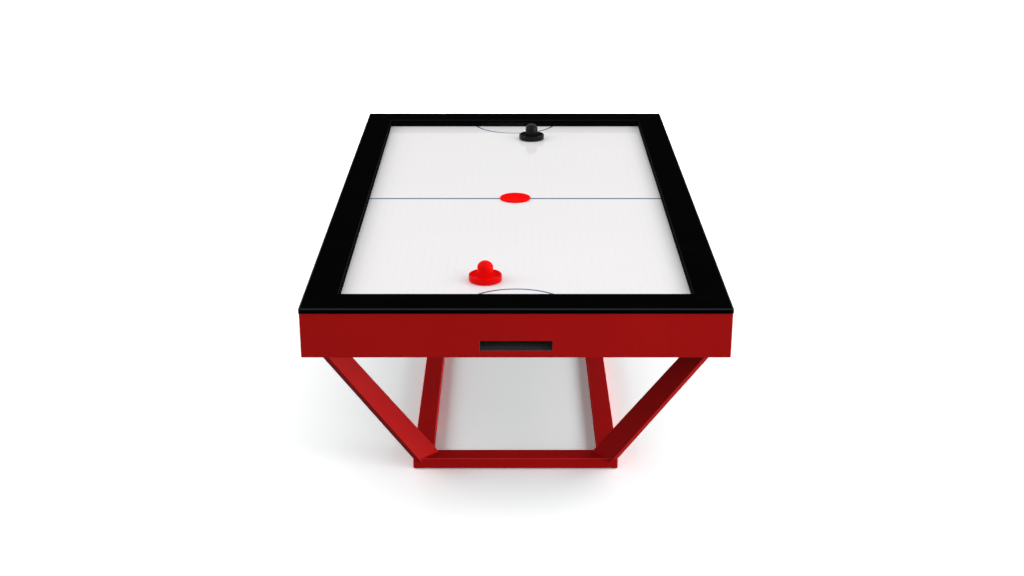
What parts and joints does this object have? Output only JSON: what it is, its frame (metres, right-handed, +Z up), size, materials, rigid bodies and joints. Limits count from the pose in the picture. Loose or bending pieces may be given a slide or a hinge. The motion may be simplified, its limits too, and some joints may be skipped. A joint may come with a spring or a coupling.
{
  "type": "air hockey table",
  "caption": "Full-size air hockey table: white air-blown playfield in wide black rails, red cabinet with end puck-return slots, splayed red steel legs on a floor ring, with puck and mallets.",
  "frame": {"origin": "on the floor under the middle of the table", "axes": "+Y along the table's length towards the far end, +X to the right as seen from the near end, +Z up"},
  "size_m": [1.4, 2.54, 0.8531],
  "materials": {
    "cabinet_red": "satin lacquer on board",
    "rail_black": "satin black lacquer on board",
    "field_white": "gloss white laminate on board, with a grid of air holes",
    "bare_board": "raw fibreboard and pine",
    "base_red": "satin powder coat",
    "chute_black": "moulded, fine texture",
    "fan_grey": "moulded",
    "foot_grey": "moulded glide on a threaded stem",
    "fan_steel": "zinc plated",
    "switch_black": "gloss",
    "puck_red": "semi-gloss",
    "mallet_red": "semi-gloss",
    "mallet_black": "semi-gloss",
    "felt_grey": "pressed felt"
  },
  "bodies": {
    "table": {"apron_far": "cabinet_red", "apron_left": "cabinet_red", "apron_near": "cabinet_red", "apron_right": "cabinet_red", "base_tube_far": "base_red", "base_tube_left": "base_red", "base_tube_near": "base_red", "base_tube_right": "base_red", "blower_housing": "chute_black", "blower_motor": "fan_steel", "bottom_panel": "rail_black", "corner_block_far_left": "bare_board", "corner_block_far_right": "bare_board", "corner_block_near_left": "bare_board", "corner_block_near_right": "bare_board", "goal_chute_far": "chute_black", "goal_chute_near": "chute_black", "intake_grille": "chute_black", "leg_far_left": "base_red", "leg_far_right": "base_red", "leg_near_left": "base_red", "leg_near_right": "base_red", "leg_plate_far_left": "base_red", "leg_plate_far_right": "base_red", "leg_plate_near_left": "base_red", "leg_plate_near_right": "base_red", "motor_bracket": "fan_steel", "playfield": "field_white", "plenum_batten_far": "bare_board", "plenum_batten_left": "bare_board", "plenum_batten_near": "bare_board", "plenum_batten_right": "bare_board", "plenum_floor": "bare_board", "plenum_rib_far": "bare_board", "plenum_rib_near": "bare_board", "power_inlet": "chute_black", "rail_cap_far": "rail_black", "rail_cap_left": "rail_black", "rail_cap_near": "rail_black", "rail_cap_right": "rail_black", "rail_core_far_left": "rail_black", "rail_core_far_right": "rail_black", "rail_core_left": "rail_black", "rail_core_near_left": "rail_black", "rail_core_near_right": "rail_black", "rail_core_right": "rail_black", "switch_bezel": "chute_black"},
    "impeller": {"impeller": "fan_grey", "motor_shaft": "fan_steel"},
    "power_rocker": {"power_rocker": "switch_black"},
    "puck": {"puck": "puck_red"},
    "mallet_near": {"mallet_near": "mallet_red", "mallet_felt_near": "felt_grey"},
    "mallet_far": {"mallet_far": "mallet_black", "mallet_felt_far": "felt_grey"},
    "leveller_near_left": {"leveller_near_left": "foot_grey"},
    "leveller_near_right": {"leveller_near_right": "foot_grey"},
    "leveller_far_left": {"leveller_far_left": "foot_grey"},
    "leveller_far_right": {"leveller_far_right": "foot_grey"}
  },
  "joints": [
    {"name": "impeller_spin", "type": "hinge", "parent": "table", "child": "impeller", "pos_m": [0, 0, 0.69], "axis": [0, 0, 1], "continuous": true},
    {"name": "power_rocker_tilt", "type": "hinge", "parent": "table", "child": "power_rocker", "pos_m": [-0.43, 1, 0.644], "axis": [1, 0, 0], "range_deg": [0, 16]},
    {"name": "puck_glide", "type": "slide", "parent": "table", "child": "puck", "axis": [0, 1, 0], "range_m": [-0.79, 0.79]},
    {"name": "mallet_near_glide", "type": "slide", "parent": "table", "child": "mallet_near", "axis": [1, 0, 0], "range_m": [-0.42, 0.63]},
    {"name": "mallet_far_glide", "type": "slide", "parent": "table", "child": "mallet_far", "axis": [1, 0, 0], "range_m": [-0.6, 0.45]},
    {"name": "leveller_near_left_turn", "type": "hinge", "parent": "table", "child": "leveller_near_left", "pos_m": [-0.25, -0.793, 0.0015], "axis": [0, 0, 1], "continuous": true},
    {"name": "leveller_near_right_turn", "type": "hinge", "parent": "table", "child": "leveller_near_right", "pos_m": [0.25, -0.793, 0.0015], "axis": [0, 0, 1], "continuous": true},
    {"name": "leveller_far_left_turn", "type": "hinge", "parent": "table", "child": "leveller_far_left", "pos_m": [-0.25, 0.793, 0.0015], "axis": [0, 0, 1], "continuous": true},
    {"name": "leveller_far_right_turn", "type": "hinge", "parent": "table", "child": "leveller_far_right", "pos_m": [0.25, 0.793, 0.0015], "axis": [0, 0, 1], "continuous": true}
  ]
}
